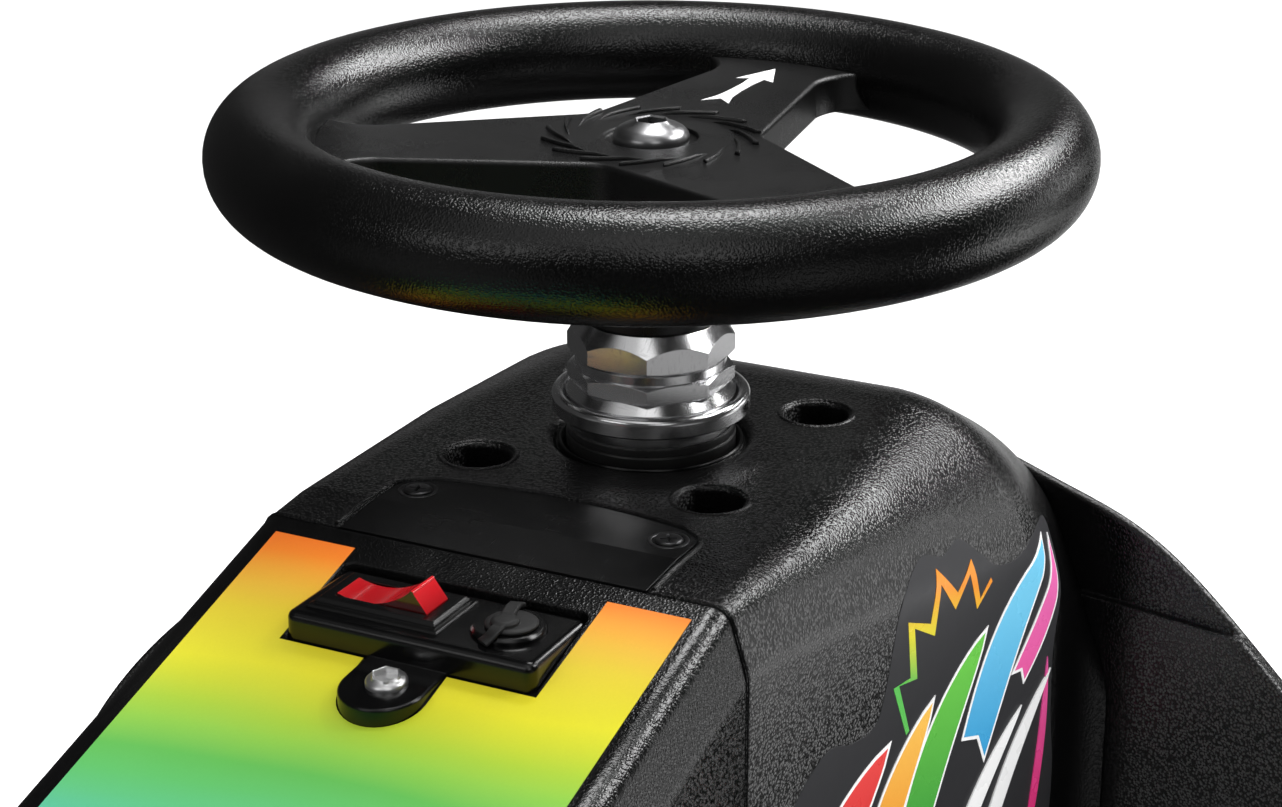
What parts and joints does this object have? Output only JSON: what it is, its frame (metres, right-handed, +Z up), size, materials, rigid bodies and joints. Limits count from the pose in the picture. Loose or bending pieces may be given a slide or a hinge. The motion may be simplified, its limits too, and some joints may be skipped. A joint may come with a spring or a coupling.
{
  "type": "drift kart front end",
  "caption": "Steering wheel, headset, hollow moulded cowl with switch box, and a fork with a hub-motor drive wheel that swivels all the way round.",
  "frame": {"origin": "on the steering axis, at the underside of the mount flange", "axes": "+Z up along the steering axis, +X forward, +Y left"},
  "size_m": [0.3329, 0.444, 0.4825],
  "materials": {
    "cowl_plastic": "leather-grained moulded plastic",
    "box_plastic": "smooth",
    "rocker_red": "gloss, translucent",
    "cap_rubber": "matt",
    "bright_zinc": "zinc plated",
    "frame_paint": "satin powder coat",
    "chrome": "polished",
    "bare_steel": "turned",
    "grip_black": "fine grained satin",
    "spider_black": "fine grained satin",
    "bolt_black": "black oxide",
    "tyre_rubber": "moulded",
    "hub_alloy": "cast and turned"
  },
  "bodies": {
    "front_cowl": {"cowl": "cowl_plastic", "front_shield": "cowl_plastic", "cover_plate": "cowl_plastic", "rear_hood": "cowl_plastic", "switch_box": "box_plastic", "rocker_bezel": "box_plastic", "rocker": "rocker_red", "charge_port": "box_plastic", "port_cap": "cap_rubber", "tab_screw": "bright_zinc", "head_tube": "frame_paint", "upper_cup": "chrome", "column_seal": "cap_rubber", "lower_cup": "chrome", "cowl_plate": "frame_paint", "mount_flange": "frame_paint"},
    "steering": {"adjusting_nut": "chrome", "lock_washer": "chrome", "lock_nut": "chrome", "steerer": "bare_steel", "crown_race": "bare_steel", "grip_ring": "grip_black", "wheel_spider": "spider_black", "hub_bolt": "bolt_black", "fork_crown": "frame_paint", "fork_leg_left": "frame_paint", "fork_leg_right": "frame_paint", "axle": "bare_steel", "axle_nut_left": "bright_zinc", "axle_nut_right": "bright_zinc"},
    "drive_wheel": {"tyre": "tyre_rubber", "hub_motor": "hub_alloy"}
  },
  "joints": [
    {"name": "steer", "type": "hinge", "parent": "front_cowl", "child": "steering", "pos_m": [0, 0, 0.14], "axis": [0, 0, 1], "continuous": true},
    {"name": "wheel_spin", "type": "hinge", "parent": "steering", "child": "drive_wheel", "pos_m": [0, 0, -0.174], "axis": [0, 1, 0], "continuous": true}
  ]
}
